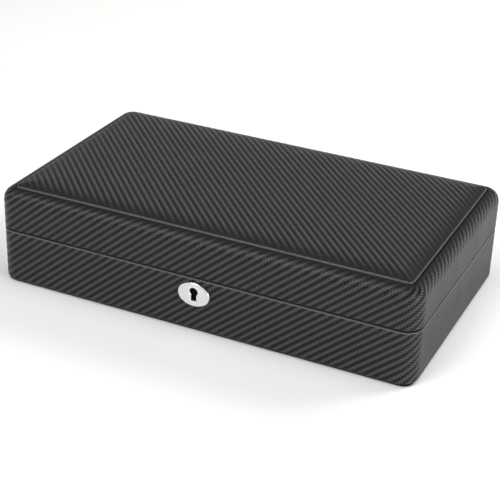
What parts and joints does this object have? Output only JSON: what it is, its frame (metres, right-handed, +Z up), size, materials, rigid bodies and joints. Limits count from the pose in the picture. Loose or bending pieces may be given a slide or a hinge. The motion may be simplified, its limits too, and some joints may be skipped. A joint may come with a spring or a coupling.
{
  "type": "watch box",
  "caption": "Shut rectangular watch box with rounded edges, a padded panel in its hinged lid, an oval keyhole plate on its front, and cushions in a divided tray inside.",
  "frame": {"origin": "middle of the underside, on the felt that the box stands on", "axes": "+X to the right seen from the front, +Y to the back where the hinges are, +Z up"},
  "size_m": [0.33, 0.1986, 0.0786],
  "materials": {
    "leatherette": "embossed with a carbon-fibre twill, soft sheen",
    "velvet": "short matte pile",
    "cushion_velvet": "short soft pile",
    "fibreboard": "raw medium-density fibreboard",
    "felt": "matte felt",
    "satin_nickel": "satin nickel plate",
    "steel": "plain pressed steel"
  },
  "bodies": {
    "base": {"base_wrap": "leatherette", "base_front_wall": "fibreboard", "base_right_wall": "fibreboard", "base_back_wall": "fibreboard", "base_left_wall": "fibreboard", "base_bottom_board": "fibreboard", "base_floor_lining": "velvet", "base_lining_front": "velvet", "base_lining_back": "velvet", "base_lining_left": "velvet", "base_lining_right": "velvet", "underside_felt": "felt", "divider_long": "velvet", "divider_cross_1": "velvet", "divider_cross_2": "velvet", "divider_cross_3": "velvet", "divider_cross_4": "velvet", "divider_cross_5": "velvet", "cushion_1": "cushion_velvet", "cushion_2": "cushion_velvet", "cushion_3": "cushion_velvet", "cushion_4": "cushion_velvet", "cushion_5": "cushion_velvet", "cushion_6": "cushion_velvet", "cushion_7": "cushion_velvet", "cushion_8": "cushion_velvet", "cushion_9": "cushion_velvet", "cushion_10": "cushion_velvet", "cushion_11": "cushion_velvet", "cushion_12": "cushion_velvet", "escutcheon": "satin_nickel", "lock_case": "steel", "lock_top_plate": "satin_nickel", "lock_screw_left": "satin_nickel", "lock_screw_right": "satin_nickel", "lock_key_pin": "steel", "lock_spring": "steel", "hinge_left_base_leaf": "satin_nickel", "hinge_left_pin": "satin_nickel", "hinge_right_base_leaf": "satin_nickel", "hinge_right_pin": "satin_nickel"},
    "lid": {"lid_wrap": "leatherette", "lid_front_wall": "fibreboard", "lid_right_wall": "fibreboard", "lid_back_wall": "fibreboard", "lid_left_wall": "fibreboard", "lid_top_board": "fibreboard", "top_pad": "leatherette", "lid_lining_front": "velvet", "lid_lining_back": "velvet", "lid_lining_left": "velvet", "lid_lining_right": "velvet", "lid_inner_pad": "velvet", "strike_plate": "satin_nickel", "strike_screw_left": "satin_nickel", "strike_screw_right": "satin_nickel", "hinge_left_lid_leaf": "satin_nickel", "hinge_right_lid_leaf": "satin_nickel"},
    "bolt": {"lock_bolt": "steel"}
  },
  "joints": [
    {"name": "lid_hinge", "type": "hinge", "parent": "base", "child": "lid", "pos_m": [0, 0.0986, 0.0436], "axis": [-1, 0, 0], "range_deg": [0, 95]},
    {"name": "bolt_slide", "type": "slide", "parent": "base", "child": "bolt", "axis": [1, 0, 0], "range_m": [0, 0.0045]}
  ]
}
